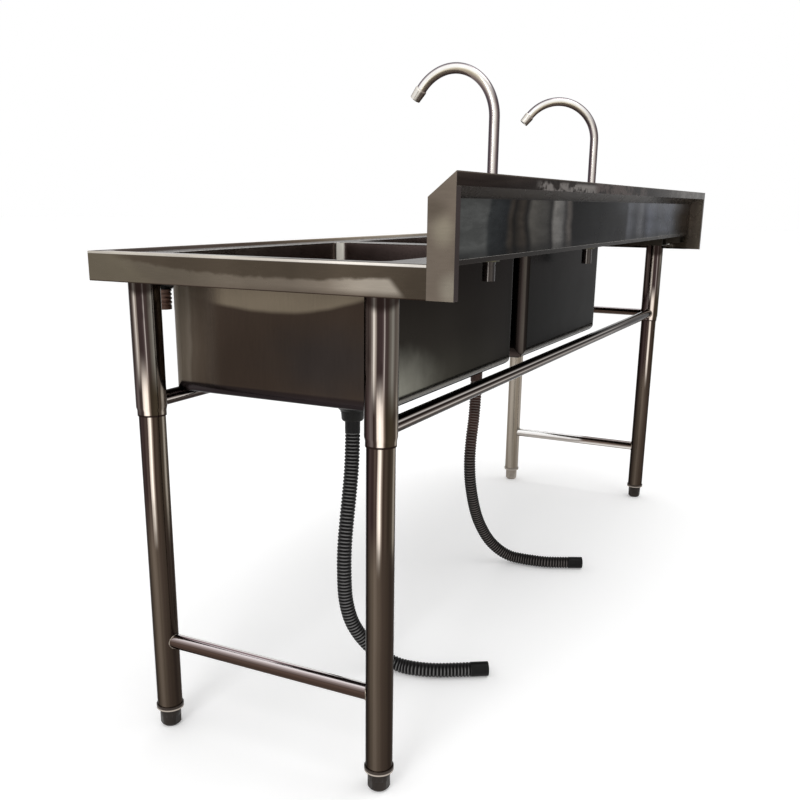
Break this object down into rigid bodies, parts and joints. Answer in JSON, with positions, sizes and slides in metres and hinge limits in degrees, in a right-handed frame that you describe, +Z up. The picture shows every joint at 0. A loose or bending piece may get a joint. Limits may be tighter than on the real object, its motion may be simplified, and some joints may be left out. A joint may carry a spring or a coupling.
{
  "type": "double-bowl pot sink",
  "caption": "Free-standing stainless pot sink: bowls side by side, platform, splashback, tubular legs, swan-neck taps and ribbed drain hoses.",
  "frame": {"origin": "on the floor, under the middle of the worktop", "axes": "+X to the right along the worktop, -Y to the front, +Y to the splashback, +Z up"},
  "size_m": [1.8, 0.6, 1.0885],
  "materials": {
    "stainless_sheet": "polished stainless sheet",
    "stainless_frame": "polished stainless tube",
    "zinc_fixings": "zinc plated",
    "black_plastic": "moulded, satin",
    "black_hose": "corrugated, satin",
    "gasket_rubber": "smooth",
    "polished_steel": "polished",
    "tap_chrome": "polished",
    "valve_brass": "machined"
  },
  "bodies": {
    "stand": {"worktop": "stainless_sheet", "splash_panel": "stainless_sheet", "splash_cap_right": "stainless_sheet", "splash_cap_left": "stainless_sheet", "bowl_right": "stainless_sheet", "bowl_left": "stainless_sheet", "end_channel_right": "stainless_frame", "end_channel_left": "stainless_frame", "platform_stiffener": "stainless_frame", "upper_leg_front_right": "stainless_frame", "upper_leg_rear_right": "stainless_frame", "upper_leg_front_left": "stainless_frame", "upper_leg_rear_left": "stainless_frame", "front_rail": "stainless_frame", "rear_rail": "stainless_frame", "end_rail_left": "stainless_frame", "lower_leg_front_right": "stainless_frame", "lower_leg_rear_right": "stainless_frame", "lower_leg_front_left": "stainless_frame", "lower_leg_rear_left": "stainless_frame", "cross_rail_right": "stainless_frame", "cross_rail_left": "stainless_frame", "leg_fixings": "zinc_fixings", "tap_washers": "zinc_fixings", "tap_nuts": "zinc_fixings", "foot_inserts": "black_plastic", "drain_cup_right": "black_plastic", "drain_cup_left": "black_plastic", "hose_nut_right": "black_plastic", "hose_nut_left": "black_plastic", "overflow_elbows": "black_plastic", "drain_hose_right": "black_hose", "drain_hose_left": "black_hose", "hose_cuff_right": "black_hose", "hose_cuff_left": "black_hose", "overflow_tails": "black_hose", "drain_gaskets": "gasket_rubber", "drain_flange_right": "polished_steel", "drain_flange_left": "polished_steel", "overflow_rosettes": "polished_steel", "tap_bases": "tap_chrome", "tap_body_right": "tap_chrome", "tap_body_left": "tap_chrome", "spout_nut_right": "tap_chrome", "spout_nut_left": "tap_chrome", "cartridge_right": "valve_brass", "cartridge_left": "valve_brass"},
    "spout_swivel_right": {"spout_right": "tap_chrome", "nozzle_right": "tap_chrome"},
    "lever_handle_right": {"lever_right": "tap_chrome"},
    "strainer_basket_right": {"strainer_right": "polished_steel"},
    "spout_swivel_left": {"spout_left": "tap_chrome", "nozzle_left": "tap_chrome"},
    "lever_handle_left": {"lever_left": "tap_chrome"},
    "strainer_basket_left": {"strainer_left": "polished_steel"},
    "screw_foot_front_right": {"foot_front_right": "black_plastic"},
    "screw_foot_rear_right": {"foot_rear_right": "black_plastic"},
    "screw_foot_front_left": {"foot_front_left": "black_plastic"},
    "screw_foot_rear_left": {"foot_rear_left": "black_plastic"}
  },
  "joints": [
    {"name": "spout_turn_right", "type": "hinge", "parent": "stand", "child": "spout_swivel_right", "pos_m": [0.529, 0.202, 0.9], "axis": [0, 0, 1], "continuous": true},
    {"name": "lever_turn_right", "type": "hinge", "parent": "stand", "child": "lever_handle_right", "pos_m": [0.529, 0.202, 0.832], "axis": [1, 0, 0], "range_deg": [0, 90]},
    {"name": "strainer_lift_right", "type": "slide", "parent": "stand", "child": "strainer_basket_right", "axis": [0, 0, 1], "range_m": [0, 0.08]},
    {"name": "spout_turn_left", "type": "hinge", "parent": "stand", "child": "spout_swivel_left", "pos_m": [-0.051, 0.202, 0.9], "axis": [0, 0, 1], "continuous": true},
    {"name": "lever_turn_left", "type": "hinge", "parent": "stand", "child": "lever_handle_left", "pos_m": [-0.051, 0.202, 0.832], "axis": [1, 0, 0], "range_deg": [0, 90]},
    {"name": "strainer_lift_left", "type": "slide", "parent": "stand", "child": "strainer_basket_left", "axis": [0, 0, 1], "range_m": [0, 0.08]},
    {"name": "foot_screw_front_right", "type": "slide", "parent": "stand", "child": "screw_foot_front_right", "axis": [0, 0, -1], "range_m": [0, 0.025]},
    {"name": "foot_screw_rear_right", "type": "slide", "parent": "stand", "child": "screw_foot_rear_right", "axis": [0, 0, -1], "range_m": [0, 0.025]},
    {"name": "foot_screw_front_left", "type": "slide", "parent": "stand", "child": "screw_foot_front_left", "axis": [0, 0, -1], "range_m": [0, 0.025]},
    {"name": "foot_screw_rear_left", "type": "slide", "parent": "stand", "child": "screw_foot_rear_left", "axis": [0, 0, -1], "range_m": [0, 0.025]}
  ]
}
